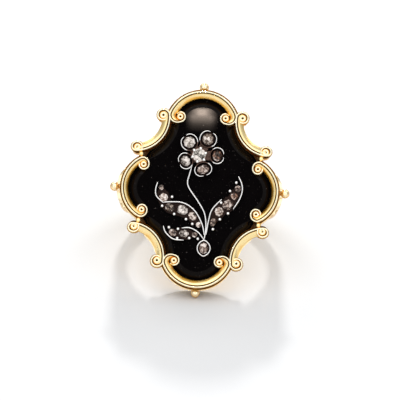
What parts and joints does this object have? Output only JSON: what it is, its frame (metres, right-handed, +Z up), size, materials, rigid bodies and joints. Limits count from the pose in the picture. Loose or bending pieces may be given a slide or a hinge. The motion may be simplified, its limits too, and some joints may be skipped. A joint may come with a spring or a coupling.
{
  "type": "onyx ring",
  "caption": "Gold ring with an elongated four-lobed black onyx plaque in a scrolled gold frame, overlaid with a silver flower spray set with small rose-cut diamonds.",
  "frame": {"origin": "bottom centre of the bounding box, on the surface that the ring lies on", "axes": "+Z up. The face leans back 30.3 degrees from upright and looks towards -Y; +X runs to the right across the face, and the plaque's long axis rises towards +Y in the YZ plane"},
  "size_m": [0.0216, 0.0256, 0.0226],
  "materials": {
    "gold": "polished",
    "bright_gold": "polished",
    "onyx": "polished",
    "silver": "satin",
    "diamond": "polished"
  },
  "bodies": {
    "root": {"ring_mount": "gold", "scroll_border": "bright_gold", "onyx": "onyx", "silver_spray": "silver", "flower_center_diamond": "diamond", "bud_diamond": "diamond", "petal_diamond_1": "diamond", "petal_diamond_2": "diamond", "petal_diamond_3": "diamond", "petal_diamond_4": "diamond", "petal_diamond_5": "diamond", "left_leaf_diamond_1": "diamond", "left_leaf_diamond_2": "diamond", "left_leaf_diamond_3": "diamond", "left_leaf_diamond_4": "diamond", "left_leaf_diamond_5": "diamond", "left_leaf_diamond_6": "diamond", "right_leaf_diamond_1": "diamond", "right_leaf_diamond_2": "diamond", "right_leaf_diamond_3": "diamond", "right_leaf_diamond_4": "diamond", "right_leaf_diamond_5": "diamond", "low_leaf_diamond_1": "diamond", "low_leaf_diamond_2": "diamond", "low_leaf_diamond_3": "diamond"}
  },
  "joints": []
}
